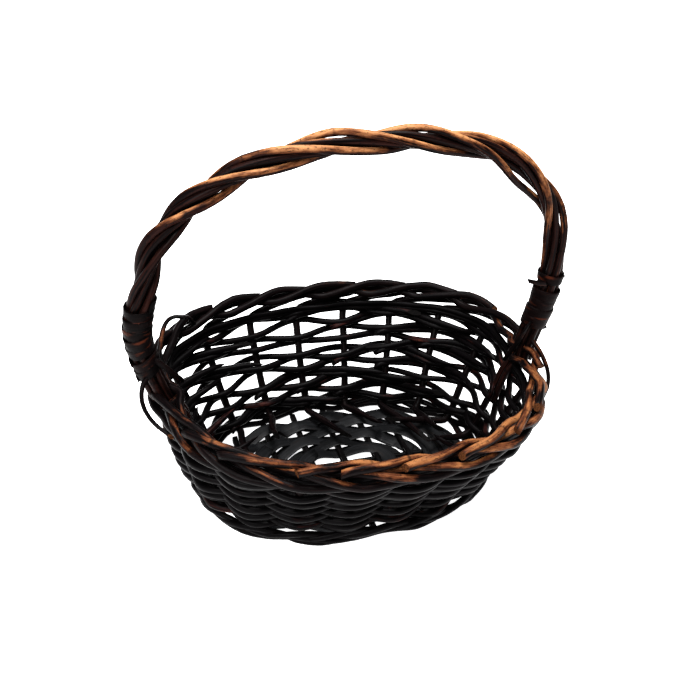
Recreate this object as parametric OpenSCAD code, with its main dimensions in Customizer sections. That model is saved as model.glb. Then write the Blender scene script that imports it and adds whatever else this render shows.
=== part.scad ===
// Oval willow basket with a fixed, roped bow handle.
//
// Frame: the origin is on the table under the middle of the bowl, +X runs the long way of the rim
// and through both feet of the handle, +Y the short way, +Z up.
//
// Each rod is a sub-part of its own. Flat strips are woven over and under the sticks of the base.
// A stake lies on the base with its butt, turns up through the wall, turns down again at the top and
// runs clockwise through the border as one rod. Rows of thin willow weave in front of and behind the
// stakes. The handle is a core rod with three pairs of rods roped round it, and a binding at each
// foot. Nothing moves: every rod is held by the weave.

/* [Bowl] */
// Length over the rim
rim_l = 300; // [250:1:370]
// Width over the rim
rim_w = 255; // [210:1:310]
// Height of the top of the rim
rim_h = 107; // [86:0.5:130]
// Length over the base
base_l = 227.4; // [210:0.2:280]
// Width over the base
base_w = 164.6; // [150:0.2:205]
// Squareness of the ovals, where 2 is an ellipse
oval_power = 2.27; // [2:0.01:2.8]
// Flare of the wall at the ends, where under 1 leans out low down
flare_l = 0.62; // [0.5:0.01:1.6]
// Flare of the wall at the sides, where over 1 leans out high up
flare_w = 1.36; // [0.5:0.01:1.6]

/* [Wall] */
// Number of stakes, always even
stake_n = 20; // [16:2:20]
// Thickness of a stake, which is also the border's rod
stake_d = 5.6; // [4:0.1:6.8]
// Place of the first stake past a handle foot, as a share of the gap between stakes
stake_phase = 0.37; // [0.3:0.01:0.7]
// Length of butt that lies on the base
butt_l = 30; // [15:1:40]
// Number of woven rows
row_n = 13; // [10:1:15]
// Thickness of a weaver
weaver_d = 4.9; // [2.5:0.1:5.9]

/* [Base] */
// Thickness of a base stick
stick_d = 4.4; // [3.6:0.1:5.2]
// Distance between short sticks
stick_pitch = 27; // [24:0.5:30]
// Number of short sticks on each side of the middle one
stick_side_n = 3; // [3:1:3]
// Width of a woven strip
strip_w = 9; // [6:0.1:9.6]
// Thickness of a woven strip
strip_t = 1.4; // [1:0.1:2]
// Space between the long sticks and the first strip
group_room = 9; // [8:0.5:10]
// Length of the eye in a short stick
eye_l = 28; // [26:1:34]

/* [Handle] */
// Rise of the handle's middle line over the rim
arch_rise = 180; // [125:1:235]
// Half width of the handle's middle line at its widest
arch_w = 158; // [150:1:190]
// Height over the rim at which the handle is widest
arch_wide_rise = 60; // [50:1:85]
// Squareness of the bow, where 2 is an ellipse
arch_power = 2.25; // [2:0.01:2.8]
// Thickness of a handle rod
handle_d = 5.2; // [4:0.1:5.6]
// Turns of the rope between the bindings
rope_turns = 2.6; // [2:0.1:6]
// Length of rod that runs down inside the wall
tail_l = 38; // [20:1:50]

/* [Binding] */
// Width of the binding skein
skein_w = 6; // [4:0.1:7]
// Thickness of the binding skein
skein_t = 1.2; // [0.8:0.1:1.6]
// Turns of skein at each foot
skein_turns = 8; // [4:1:9]
// Height of the binding over the rim
binding_rise = 9; // [3:1:20]

/* [Fit] */
// Gap between rods that press on each other
press_gap = 0.35; // [0.1:0.05:0.5]
// Gap between the rods of the rope, and between them and the binding
rope_gap = 0.5; // [0.4:0.05:0.8]
// Gap round a long stick in its eye
eye_gap = 0.1; // [0.1:0.05:0.2]

/* [Hidden] */

bark = [0.13, 0.08, 0.06];
worn_bark = [0.42, 0.22, 0.1];
dark_strip = [0.14, 0.14, 0.15];
end_grain = [0.3, 0.18, 0.1];

oval_steps = 90;
rod_sides = 6;

// Base levels
strip_rise = stick_d / 2 + press_gap + strip_t / 2;
stick_z = strip_rise + strip_t / 2;
base_top = stick_z + strip_rise + strip_t / 2;

// Wall levels
wall_in = weaver_d + stake_d / 2 + press_gap;
weave_swing = stake_d / 2 + press_gap + weaver_d / 2;
butt_z = base_top + press_gap + stake_d / 2;

// Way of one border rod: [gaps passed, steps outward, steps below the top rod], steps in rod sizes.
// Low on the outside past one stake, up and over to the inside, then back over the top to its end.
border_way = [
    [0, 0, 3.57], [0.25, 0.3, 3.0], [0.5, 0.66, 2.87], [1, 1.19, 2.7], [1.5, 1.13, 1.66],
    [2, 0.19, 1.25], [2.5, -0.85, 1.87], [3, -1.07, 0.83], [3.5, -0.19, 0.17], [4, 0.66, 0]];
border_top = rim_h - stake_d / 2;
border_reach = 1.19 * stake_d + stake_d / 2;
wall_top = border_top - 3.57 * stake_d;
foot_row_n = 2;
foot_row_z = weaver_d / 2 + 0.7;
first_row_z = butt_z + (stake_d + weaver_d) / 2 + press_gap;
last_row_z = wall_top - 3.4;
foot_pitch = (first_row_z - weave_swing / 2 - foot_row_z) / foot_row_n;
row_pitch = (last_row_z - first_row_z) / (row_n - 1 - foot_row_n);

// Rope of the handle: three pairs round a core, each pair side by side
rope_r = handle_d + 1;
pair_turn = asin((handle_d + rope_gap) / 2 / rope_r);
bundle_r = rope_r + handle_d / 2;
foot_x = rim_l / 2 - border_reach;
foot_z = wall_top + 1.6 * stake_d;
arch_h = rim_h + arch_rise;
arch_wide_h = rim_h + arch_wide_rise;
binding_z = rim_h + binding_rise;
binding_l = skein_turns * (skein_w + 0.5);

// ---------- Ovals ----------

function unit(v) = v / norm(v);

function oval(a, b, t) = [
    a * sign(cos(t)) * pow(abs(cos(t)), 2 / oval_power),
    b * sign(sin(t)) * pow(abs(sin(t)), 2 / oval_power),
    0];

// Outward normal of an oval
function outward(a, b, t) = unit([
    sign(cos(t)) * pow(abs(cos(t)), 2 - 2 / oval_power) / a,
    sign(sin(t)) * pow(abs(sin(t)), 2 - 2 / oval_power) / b,
    0]);

// Pairs of [angle, length walked from +X]
function walk(a, b) = [
    for (i = 0, s = 0; i <= oval_steps;
        s = s + norm(oval(a, b, (i + 1) * 360 / oval_steps) - oval(a, b, i * 360 / oval_steps)),
        i = i + 1)
    [i * 360 / oval_steps, s]];

function swapped(pairs) = [for (p = pairs) [p[1], p[0]]];

// ---------- Wall ----------

// From the base's edge out to the border's middle
function wall_half(z, base, rim, flare) =
    let (low = base / 2 - wall_in, high = rim / 2 - border_reach)
    low + (high - low) * pow(max(0, min(1, z / wall_top)), flare);

// Middle of the wall, where the stakes stand
function mid_a(z) = wall_half(z, base_l, rim_l, flare_l);
function mid_b(z) = wall_half(z, base_w, rim_w, flare_w);

rim_walk = walk(mid_a(wall_top), mid_b(wall_top));
rim_round = rim_walk[oval_steps][1];
rim_angle = swapped(rim_walk);
stake_gap = rim_round / stake_n;

// Angle of the point that lies a number of stake gaps round from +X
function gap_angle(gaps) =
    let (turns = floor(gaps / stake_n))
    360 * turns + lookup((gaps - turns * stake_n) * stake_gap, rim_angle);

function stake_gaps(i) = i - 1 + stake_phase;

function wall_point(t, z, out) =
    oval(mid_a(z), mid_b(z), t) + out * outward(mid_a(z), mid_b(z), t) + [0, 0, z];

function wall_normal(t, z) = outward(mid_a(z), mid_b(z), t);

// ---------- Sweep ----------

// A ring of section points is set square to the path at each of its points. The hint turns the
// section's first axis. A level sweep keeps its rings upright, so that flats stay flat.
function path_way(path, i, closed) =
    let (last = len(path) - 1)
    let (after = i < last ? path[i + 1] : (closed ? path[0] : path[last]))
    let (before = i > 0 ? path[i - 1] : (closed ? path[last] : path[0]))
    after - before;

function ring(point, way, hint, section, level) =
    let (t = unit(level ? [way[0], way[1], 0] : way))
    let (s = unit(hint - t * (t * hint)))
    let (u = cross(s, t))
    [for (c = section) point + c[0] * s + c[1] * u];

module sweep(path, hints, section, closed = false, level = false) {
    n = len(section);
    m = len(path);
    points = [for (i = [0:m - 1])
        each ring(path[i], path_way(path, i, closed), hints[i], section, level)];
    sides = [for (i = [0:closed ? m - 1 : m - 2]) for (j = [0:n - 1])
        let (p = i * n, q = (i + 1) % m * n, k = (j + 1) % n)
        each [[p + j, p + k, q + k], [p + j, q + k, q + j]]];
    caps = closed ? [] : [[for (j = [n - 1:-1:0]) j], [for (j = [0:n - 1]) (m - 1) * n + j]];
    polyhedron(points = points, faces = concat(sides, caps));
}

// A section whose flats are its thickness apart in both directions
function round_section(d) = [for (k = [0:rod_sides - 1])
    d / 2 * [cos(360 * k / rod_sides), sin(360 * k / rod_sides)]];

function flat_section(w, t) = [[-w, -t] / 2, [w, -t] / 2, [w, t] / 2, [-w, t] / 2];

// ---------- Base ----------

function stick_count() = 2 * stick_side_n + 1;
function strip_count() = 2 * stick_side_n;

// Room outside the last strip for the stakes and the lowest rows
edge_room = 12.4;
strip_gap = (stick_pitch - stick_d - 2 * strip_w) / 3;
group_pitch = stick_d + eye_gap;
group_half = group_pitch + stick_d / 2;
first_strip_b = group_half + eye_gap + group_room + strip_w / 2;
last_strip_b = base_w / 2 - edge_room - strip_w / 2;
strip_b_pitch = (last_strip_b - first_strip_b) / (strip_count() - 1);

// Two strips turn in each bay between short sticks
function strip_bay(j) = 1 + floor((j - 1) / 2);
function strip_a(j) = stick_pitch * (strip_bay(j) + 0.5)
    + (j % 2 == 1 ? -1 : 1) * (strip_w + strip_gap) / 2;
function strip_b(j) = first_strip_b + (j - 1) * strip_b_pitch;

base_edge_a = mid_a(0) + stake_d / 2;
base_edge_b = mid_b(0) + stake_d / 2;

// Half length of a short stick that crosses at x, or of a long stick that runs at y
function half_across(x) =
    base_edge_b * pow(1 - pow(abs(x) / base_edge_a, oval_power), 1 / oval_power);
function half_along(y) =
    base_edge_a * pow(1 - pow(abs(y) / base_edge_b, oval_power), 1 / oval_power);

// A long stick runs through the eyes of the short ones
module long_stick(i) {
    y = (i - 2) * group_pitch;
    l = half_along(y);
    color(bark)
    translate([-l, y, stick_z])
    rotate([0, 90, 0])
    cylinder(h = 2 * l, d = stick_d, $fn = 32);
}

// A short stick swells and splits in the middle, where the long sticks pass
module short_stick(i) {
    x = (i - 1 - stick_side_n) * stick_pitch;
    l = half_across(x);
    eye_half_h = stick_d / 2 + strip_t + press_gap - 0.05;
    eye_r = (eye_l * eye_l / 4 + eye_half_h * eye_half_h) / 2 / eye_half_h;
    color(bark)
    translate([x, 0, stick_z])
    difference() {
        union() {
            translate([0, l, 0])
            rotate([90, 0, 0])
            cylinder(h = 2 * l, d = stick_d, $fn = 32);
            rotate([90, 0, 90])
            linear_extrude(stick_d, center = true)
            intersection() {
                translate([0, eye_half_h - eye_r]) circle(r = eye_r, $fn = 96);
                translate([0, eye_r - eye_half_h]) circle(r = eye_r, $fn = 96);
            }
        }
        cube([2 * stick_d, 2 * (group_half + eye_gap), stick_d + 2 * eye_gap], center = true);
    }
}

// Over or under, where round j meets short stick k, counted from the middle one
function stick_side(k, j) = (abs(k) + j) % 2 == 0 ? 1 : -1;

// Half of the walk for which a strip lies flat on a stick: longer where it crosses at a slant
function flat_half(a, b, t) =
    let (n = outward(a, b, t))
    (stick_d / 2 + press_gap + strip_w / 2 * abs(n[0])) / max(0.3, abs(n[1]));

// Places where a round meets the short sticks: [length walked, half of the flat, over or under]
function strip_crossings(j) =
    let (a = strip_a(j), b = strip_b(j), m = strip_bay(j))
    let (steps = walk(a, b), whole = steps[oval_steps][1])
    let (there = [for (k = [m:-1:-m])
        let (t = acos(sign(k) * pow(abs(k) * stick_pitch / a, oval_power / 2)))
        [lookup(t, steps), flat_half(a, b, t), stick_side(k, j)]])
    concat(there, [for (c = [2 * m:-1:0]) [whole - there[c][0], there[c][1], there[c][2]]]);

// One strip goes round the base, over one stick and under the next. It stays level round each end.
module strip_round(j) {
    a = strip_a(j);
    b = strip_b(j);
    steps = walk(a, b);
    whole = steps[oval_steps][1];
    places = strip_crossings(j);
    n = len(places);
    stops = [for (c = [0:n - 1])
        let (now = places[c], next = places[(c + 1) % n])
        let (from = now[0] + now[1], to = next[0] - next[1] + (c == n - 1 ? whole : 0))
        let (parts = now[2] == next[2] ? 9 : 3)
        each [[now[0] - now[1], now[2]],
            for (p = [0:parts - 1])
                [from + (to - from) * p / parts, now[2] + (next[2] - now[2]) * p / parts]]];
    angles = [for (p = stops) lookup(p[0] > whole ? p[0] - whole : p[0], swapped(steps))];
    path = [for (i = [0:len(stops) - 1])
        oval(a, b, angles[i]) + [0, 0, stick_z + strip_rise * stops[i][1]]];
    color(dark_strip)
    sweep(path, [for (t = angles) outward(a, b, t)], flat_section(strip_w, strip_t), true, true);
}

// ---------- Stakes and border ----------

// The border spreads round the handle's foot
foot_spread = bundle_r + stake_d / 2 + press_gap;
foot_reach = 18;
function foot_bump(gaps) =
    let (off = gaps - round(gaps / (stake_n / 2)) * stake_n / 2)
    exp(-pow(off * stake_gap / foot_reach, 2));
function spread(out, gaps, gone) =
    (out < 0 ? -1 : 1) * max(abs(out), foot_spread * foot_bump(gaps) * max(0, min(1, 4 * gone - 3)));

function border_out(u) = stake_d * lookup(u, [for (p = border_way) [p[0], p[1]]]);
function border_z(u) = border_top - stake_d * lookup(u, [for (p = border_way) [p[0], p[2]]]);

module stake(i) {
    gaps = stake_gaps(i);
    t = gap_angle(gaps);
    n = wall_normal(t, 0);
    corner = wall_point(t, butt_z, 0) - [0, 0, butt_z];
    bend = stake_d / 2;
    edge = wall_point(t, 0, 0);
    butt = [edge - butt_l * n + [0, 0, butt_z], corner - bend * n + [0, 0, butt_z]];
    rise = [for (k = [0:4])
        let (z = butt_z + bend + (wall_top - bend - butt_z - bend) * k / 4)
        wall_point(t, z, 0)];
    ways = [for (u = [0.06, 0.2, each [0.5:0.25:4]]) u];
    border = [for (u = ways)
        let (g = gaps - u)
        wall_point(gap_angle(g), border_z(u), spread(border_out(u), g, u))];
    hints = concat(
        [[0, 0, -1], unit(n - [0, 0, 1])],
        [for (p = rise) n],
        [for (u = ways) wall_normal(gap_angle(gaps - u), wall_top)]);
    color(worn_bark)
    sweep(concat(butt, rise, border), hints, round_section(stake_d));
}

// ---------- Wall rows ----------

// The lowest rows run outside every stake, round the edge of the base. Each row above them passes
// outside one stake and inside the next, and the rows over and under it do the opposite.
function row_z(j) = j <= foot_row_n
    ? foot_row_z + (j - 1) * foot_pitch
    : first_row_z + (j - 1 - foot_row_n) * row_pitch;
function row_side(j, i, half) = half > 0 ? 0 : ((i + j) % 2 == 0 ? 1 : -1);

// How far the wall leans out for each step up
function wall_lean(t, z) =
    let (rise = 2)
    (wall_point(t, z + rise / 2, 0) - wall_point(t, z - rise / 2, 0)) * wall_normal(t, z) / rise;

// A row passes the stakes square to the leaning wall
function row_point(j, i, half) =
    let (t = gap_angle(stake_gaps(i) + half), z = row_z(j))
    j <= foot_row_n ? wall_point(t, z, weave_swing) :
    wall_point(t, z, 0)
        + row_side(j, i, half) * weave_swing * unit(wall_normal(t, z) - [0, 0, wall_lean(t, z)]);

module wall_row(j) {
    path = [for (i = [1:stake_n]) for (half = [0, 0.5]) row_point(j, i, half)];
    hints = [for (i = [1:stake_n]) for (half = [0, 0.5])
        wall_normal(gap_angle(stake_gaps(i) + half), row_z(j))];
    color(bark)
    sweep(path, hints, round_section(weaver_d), true);
}

// ---------- Handle ----------

// The bow from the left foot to the right foot
arch_steps = 24;
arch_lower = [for (k = [0:8])
    let (z = foot_z + (arch_wide_h - foot_z) * k / 8)
    let (share = (arch_wide_h - z) / arch_wide_rise)
    [arch_w - (arch_w - foot_x) * min(1, pow(share, 2.5)), 0, z]];
arch_upper = [for (k = [1:arch_steps])
    let (w = 90 * k / arch_steps)
    [arch_w * pow(abs(cos(w)), 2 / arch_power), 0,
        arch_wide_h + (arch_h - arch_wide_h) * pow(sin(w), 2 / arch_power)]];
arch_half = concat(arch_lower, arch_upper);
arch_line = concat(
    [for (p = arch_half) [-p[0], 0, p[2]]],
    [for (k = [len(arch_half) - 2:-1:0]) arch_half[k]]);
arch_lengths = [
    for (i = 0, s = 0; i < len(arch_line);
        s = s + (i < len(arch_line) - 1 ? norm(arch_line[i + 1] - arch_line[i]) : 0), i = i + 1)
    s];
arch_l = arch_lengths[len(arch_line) - 1];
arch_xs = [for (i = [0:len(arch_line) - 1]) [arch_lengths[i], arch_line[i][0]]];
arch_zs = [for (i = [0:len(arch_line) - 1]) [arch_lengths[i], arch_line[i][2]]];

function arch_point(l) = [lookup(l, arch_xs), 0, lookup(l, arch_zs)];
function arch_way(l) = unit(arch_point(min(arch_l, l + 4)) - arch_point(max(0, l - 4)));
function arch_out(l) = cross([0, -1, 0], arch_way(l));

// The rope lies straight under the bindings
bound_l = binding_z - foot_z + binding_l;
function rope_turn(l) =
    let (free = arch_l - 2 * bound_l)
    -360 * rope_turns * (max(bound_l, min(arch_l - bound_l, l)) - arch_l / 2) / free;

function rope_point(l, turn, r) =
    arch_point(l) + r * (cos(turn) * arch_out(l) + sin(turn) * [0, 1, 0]);

module core_rod() {
    stops = [for (k = [0:30]) arch_l * k / 30];
    color(bark)
    sweep([for (l = stops) arch_point(l)], [for (l = stops) arch_out(l)], round_section(handle_d));
}

// The two rods on the inner side of a foot run on down inside the wall
function is_inner(turn) = cos(turn) < -0.5;
function tail_points(side, turn) =
    let (y = rope_r * sin(turn))
    let (high = wall_top - 4, low = wall_top - tail_l)
    let (back = weave_swing + weaver_d / 2 + handle_d / 2 + press_gap)
    [[side * (mid_a(high) - back), y, high], [side * (mid_a(low) - back), y, low]];

module rope_rod(k) {
    first = 120 * floor((k - 1) / 2) + (k % 2 == 1 ? -1 : 1) * pair_turn;
    steps = 48;
    stops = [for (i = [0:steps]) arch_l * i / steps];
    turns = [for (l = stops) first + rope_turn(l)];
    rope = [for (i = [0:steps]) rope_point(stops[i], turns[i], rope_r)];
    left = is_inner(turns[0]) ? tail_points(-1, turns[0]) : [];
    right = is_inner(turns[steps]) ? tail_points(1, turns[steps]) : [];
    path = concat([for (m = [len(left) - 1:-1:0]) left[m]], rope, right);
    hints = concat(
        [for (p = left) [-1, 0, 0]],
        [for (l = stops) arch_out(l)],
        [for (p = right) [1, 0, 0]]);
    color(worn_bark)
    sweep(path, hints, round_section(handle_d));
}

// A flat skein is wound up round a foot
module binding(side) {
    per_turn = 10;
    r = bundle_r + rope_gap + skein_t / 2;
    count = per_turn * skein_turns;
    from = binding_z - foot_z + skein_w / 2;
    stops = [for (i = [0:count]) from + i * (skein_w + 0.5) / per_turn];
    lengths = [for (l = stops) side < 0 ? l : arch_l - l];
    path = [for (i = [0:count]) rope_point(lengths[i], 360 * i / per_turn, r)];
    color(dark_strip)
    sweep(path, [for (l = lengths) arch_way(l)], flat_section(skein_w, skein_t));
}

// ---------- Assembly ----------

for (i = [1:3])
    long_stick(i);
for (i = [1:stick_count()])
    short_stick(i);
for (i = [1:strip_count()])
    strip_round(i);
for (i = [1:stake_n])
    stake(i);
for (i = [1:row_n])
    wall_row(i);
core_rod();  // handle_core_rod
for (i = [1:6])
    rope_rod(i);
binding(-1);  // handle_binding_left
binding(1);  // handle_binding_right
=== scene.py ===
import math
import random
from bisect import bisect_right

import bmesh
import bpy
from mathutils import Matrix, Vector, noise


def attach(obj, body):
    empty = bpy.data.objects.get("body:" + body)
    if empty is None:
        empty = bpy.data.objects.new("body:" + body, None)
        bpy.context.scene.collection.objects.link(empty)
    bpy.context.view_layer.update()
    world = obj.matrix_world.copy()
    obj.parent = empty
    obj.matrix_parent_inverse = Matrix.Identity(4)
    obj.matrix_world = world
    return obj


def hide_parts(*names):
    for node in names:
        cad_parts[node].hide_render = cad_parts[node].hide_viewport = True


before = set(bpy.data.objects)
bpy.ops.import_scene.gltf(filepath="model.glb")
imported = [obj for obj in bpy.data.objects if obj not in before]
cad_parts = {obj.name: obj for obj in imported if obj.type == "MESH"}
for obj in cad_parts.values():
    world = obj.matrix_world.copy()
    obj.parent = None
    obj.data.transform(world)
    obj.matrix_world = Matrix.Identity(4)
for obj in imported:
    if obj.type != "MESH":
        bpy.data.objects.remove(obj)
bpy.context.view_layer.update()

zAxis = Vector((0, 0, 1))
yAxis = Vector((0, 1, 0))

# Sizes are in metres. The bowl's ovals are the CAD part's own.
bowl = {
    "rimLength": 0.300,
    "rimWidth": 0.255,
    "rimHeight": 0.107,
    "baseLength": 0.2274,
    "baseWidth": 0.1646,
    "ovalPower": 2.27,      # 2 is an ellipse, more is squarer
    "flareEnds": 0.62,      # under 1 leans out low down
    "flareSides": 1.36,     # over 1 leans out high up
    "stakes": 20,
    "stakePhase": 0.37,     # first stake past a handle foot, in gaps between stakes
    "stakeSize": 0.0056,
    "weaverSize": 0.0049,
    "pressGap": 0.00035,
    "sag": 0.0015,          # how far the wall has slipped to the left
    "pinch": 0.0045,        # how far its right end has been pushed in besides
    "slipHeights": (0.045, 0.095),      # the slip fades out between these
    "backRight": 0.0095,    # how far the rim bulges at its back corners
    "backLeft": 0.0095,
    "bulgeHeights": (0.030, 0.080),     # the bulge grows between these
}
stakeSize = bowl["stakeSize"]


# ---- numbers and ovals ----

def clamp(value):
    return min(max(value, 0), 1)


# 0 up to low, 1 from high on, even between
def ramp(value, low, high):
    return clamp((value - low) / (high - low))


def signedPower(value, power):
    return math.copysign(abs(value) ** power, value)


# A value read off two lists that belong together, the first of them rising
def between(value, keys, values):
    k = min(max(bisect_right(keys, value), 1), len(keys) - 1)
    share = ramp(value, keys[k - 1], keys[k])
    return values[k - 1] + share * (values[k] - values[k - 1])


# Lengths walked along the points, from the first to each
def walked(points):
    lengths = [0.0]
    for first, second in zip(points, points[1:]):
        lengths.append(lengths[-1] + (second - first).length)
    return lengths


def ovalPoint(a, b, turn):
    power = 2 / bowl["ovalPower"]
    return Vector((a * signedPower(math.cos(turn), power), b * signedPower(math.sin(turn), power), 0))


def ovalOut(a, b, turn):
    power = 2 - 2 / bowl["ovalPower"]
    x = signedPower(math.cos(turn), power) / a
    y = signedPower(math.sin(turn), power) / b
    return Vector((x, y, 0)).normalized()


# Lengths walked round an oval from +X, and the turns they belong to
def ovalWalk(a, b, steps=360):
    turns = [2 * math.pi * k / steps for k in range(steps + 1)]
    return turns, walked([ovalPoint(a, b, turn) for turn in turns])


# ---- the wall's middle surface ----

borderReach = 1.19 * stakeSize + stakeSize / 2
borderTop = bowl["rimHeight"] - stakeSize / 2
wallTop = borderTop - 3.57 * stakeSize
wallIn = bowl["weaverSize"] + stakeSize / 2 + bowl["pressGap"]
weaveSwing = (stakeSize + bowl["weaverSize"]) / 2 + bowl["pressGap"]


# Half length and half width of the wall at a height
def wallHalves(z):
    share = clamp(z / wallTop)
    lowA, highA = bowl["baseLength"] / 2 - wallIn, bowl["rimLength"] / 2 - borderReach
    lowB, highB = bowl["baseWidth"] / 2 - wallIn, bowl["rimWidth"] / 2 - borderReach
    return (
        lowA + (highA - lowA) * share ** bowl["flareEnds"],
        lowB + (highB - lowB) * share ** bowl["flareSides"])


rimTurns, rimLengths = ovalWalk(*wallHalves(wallTop))
rimRound = rimLengths[-1]
stakeGap = rimRound / bowl["stakes"]


# Places round the wall are counted in gaps between stakes, from the right handle foot
def turnAt(gaps):
    laps, rest = divmod(gaps * stakeGap, rimRound)
    return 2 * math.pi * laps + between(rest, rimLengths, rimTurns)


def wallPoint(gaps, z, out):
    a, b = wallHalves(z)
    turn = turnAt(gaps)
    corner = 1.5 * math.sin(2 * turn) * math.cos(turn) ** 2 if math.sin(turn) > 0 else 0
    corner *= ramp(z, *bowl["bulgeHeights"])
    out += max(bowl["backRight"] * corner, -bowl["backLeft"] * corner)
    point = ovalPoint(a, b, turn) + out * ovalOut(a, b, turn) + z * zAxis
    low = 1 - ramp(z, *bowl["slipHeights"])
    point.x -= low * (bowl["sag"] + bowl["pinch"] * max(0, point.x / a))
    return point


def wallOut(gaps, z=wallTop):
    return ovalOut(*wallHalves(z), turnAt(gaps))


# How far the wall leans out for each step up
def wallLean(gaps, z):
    rise = 0.002
    step = wallPoint(gaps, z + rise / 2, 0) - wallPoint(gaps, z - rise / 2, 0)
    return step.dot(wallOut(gaps, z)) / rise


# ---- paths ----

# A smooth curve through the points, in even steps
def smoothPath(points, step):
    dense = []
    last = len(points) - 1
    for k in range(last):
        before = points[max(k - 1, 0)]
        start, end = points[k], points[k + 1]
        after = points[min(k + 2, last)]
        spans = max(2, math.ceil((end - start).length / step * 2))
        for j in range(spans):
            t = j / spans
            dense.append(0.5 * (
                2 * start + (end - before) * t
                + (2 * before - 5 * start + 4 * end - after) * t * t
                + (3 * start - before - 3 * end + after) * t * t * t))
    dense.append(points[last])
    lengths = walked(dense)
    count = max(3, round(lengths[-1] / step))
    return [between(lengths[-1] * k / count, lengths, dense) for k in range(count + 1)]


# Frames along a path: side, across and along as columns. A hint turns the side axis, and without
# one the frame is carried along without twist.
def pathFrames(path, sizes, hints=None):
    frames = []
    side = None
    for k, point in enumerate(path):
        along = (path[min(k + 1, len(path) - 1)] - path[max(k - 1, 0)]).normalized()
        if hints:
            side = hints[k].copy()
        elif side is None:
            side = along.orthogonal()
        side = (side - along * along.dot(side)).normalized()
        across = along.cross(side)
        width, height = sizes[k]
        matrix = Matrix((side * width / 2, across * height / 2, along)).transposed().to_4x4()
        matrix.translation = point
        frames.append(matrix)
    return frames


# ---- rods and strips ----

willow = {
    "scarLength": 0.0016,
    "scarSwell": 0.09,      # how much thicker a rod is at a bud scar
    "streakStretch": (30, 700, 700),    # long thin streaks down the rod
    "blotchStretch": (45, 160, 160),    # patches a few centimetres long
    "fleckStretch": (420, 900, 900),
    "grooveDepth": 0.00025,
}


def newPiece():
    bm = bmesh.new()
    bm.verts.layers.float_vector.new("straight")   # place in the rod as it was before it was bent
    bm.verts.layers.float.new("tone")              # one number for each rod
    bm.verts.layers.float.new("wear")              # how far the stain has rubbed off
    bm.verts.layers.float.new("knot")              # 1 at a bud scar
    return bm


# Places along a rod and strengths of its bud scars
def budScars(rng, length, knotEvery):
    scars = []
    place = rng.uniform(0.2, 1) * knotEvery
    while knotEvery and place < length:
        scars.append((place, rng.uniform(0.5, 1)))
        place += rng.uniform(0.6, 1.5) * knotEvery
    return scars


# Leaves a tube by pushing a ring through the frames, and returns the ring at each of them
def pushRing(bm, frames, sides, squared):
    ring = bmesh.ops.create_circle(bm, segments=sides, radius=1, matrix=frames[0])["verts"]
    if squared:
        for v in ring:
            local = frames[0].inverted() @ v.co
            v.co = frames[0] @ Vector((signedPower(local.x, 0.45), signedPower(local.y, 0.6), 0))
    edges = list(dict.fromkeys(e for v in ring for e in v.link_edges))
    rings = [ring]
    known = set(bm.faces)
    for before, after in zip(frames, frames[1:]):
        grown = bmesh.ops.extrude_edge_only(bm, edges=edges)["geom"]
        ring = [part for part in grown if isinstance(part, bmesh.types.BMVert)]
        own = set(ring)
        edges = [part for part in grown if isinstance(part, bmesh.types.BMEdge)
                 and part.verts[0] in own and part.verts[1] in own]
        bmesh.ops.transform(bm, matrix=after @ before.inverted(), verts=ring)
        rings.append(ring)
    for face in set(bm.faces) - known:
        face.smooth = True
    return rings


# Closes an end on a slant, its middle moved on along the rod by the reach
def cutEnd(bm, ring, turned, reach, lean, slotIndex):
    along = turned.col[2].to_3d()
    back = turned.inverted()
    for v in ring:
        local = back @ v.co
        v.co += reach * along * (1 + local.x * math.cos(lean) + local.y * math.sin(lean))
    rim = dict.fromkeys(e for v in ring for e in v.link_edges if e.is_boundary)
    for face in bmesh.ops.edgeloop_fill(bm, edges=list(rim))["faces"]:
        face.material_index = slotIndex
        face.smooth = False


# A round rod, or a strip where flat gives its thickness. Of each pair, taper holds the thickness at
# the start and the end as shares of the size, cuts how slanted the two ends are, and ends their
# materials. The rod starts thin and has its full thickness after the share called narrow.
def growRod(bm, points, size, seed, taper=(1, 1), flat=None, hints=None, sides=10, step=0.0032,
            cuts=(1.2, 1.2), wear=0.0, rough=0.035, knotEvery=0.045, ends=(1, 1), narrow=0.001):
    rng = random.Random(seed)
    path = smoothPath(points, step)
    last = len(path) - 1
    length = step * last
    knots = budScars(rng, length, knotEvery)
    scars = []
    sizes = []
    for k in range(last + 1):
        s = length * k / last
        share = k / last
        scar = max([strength * math.exp(-((s - at) / willow["scarLength"]) ** 2)
                    for at, strength in knots], default=0)
        swell = 1 + willow["scarSwell"] * scar + 0.05 * noise.noise(Vector((s * 60, seed * 3.1, 0)))
        width = size * (taper[0] + (taper[1] - taper[0]) * share) * swell
        width *= 0.7 + 0.3 * min(share / narrow, 1)
        height = flat * swell if flat else width * (1 + 0.05 * noise.noise(Vector((s * 40, seed, 9))))
        scars.append(scar)
        sizes.append((width, height))
    frames = pathFrames(path, sizes, hints(path) if hints else None)
    tone = rng.random()
    shift = rng.uniform(0, 3)
    rings = pushRing(bm, frames, sides, flat)

    straight = bm.verts.layers.float_vector["straight"]
    toneLayer = bm.verts.layers.float["tone"]
    wearLayer = bm.verts.layers.float["wear"]
    knotLayer = bm.verts.layers.float["knot"]
    for k, ring in enumerate(rings):
        s = length * k / last
        back = frames[k].inverted()
        for v in ring:
            local = back @ v.co
            bump = 1 + rough * noise.noise(Vector((s * 300 + shift * 50, local.x * 1.4, local.y * 1.4)))
            v.co = frames[k] @ Vector((local.x * bump, local.y * bump, 0))
            v[straight] = (s + shift, local.x * sizes[k][0] / 2, local.y * sizes[k][1] / 2)
            v[toneLayer] = tone
            v[wearLayer] = wear(k / last, path[k]) if callable(wear) else wear
            v[knotLayer] = scars[k]
    for which, sign in ((0, -1), (-1, 1)):
        lean = rng.uniform(0, 2 * math.pi)
        cutEnd(bm, rings[which], frames[which], sign * size / 2 * cuts[which], lean, ends[which])


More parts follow.
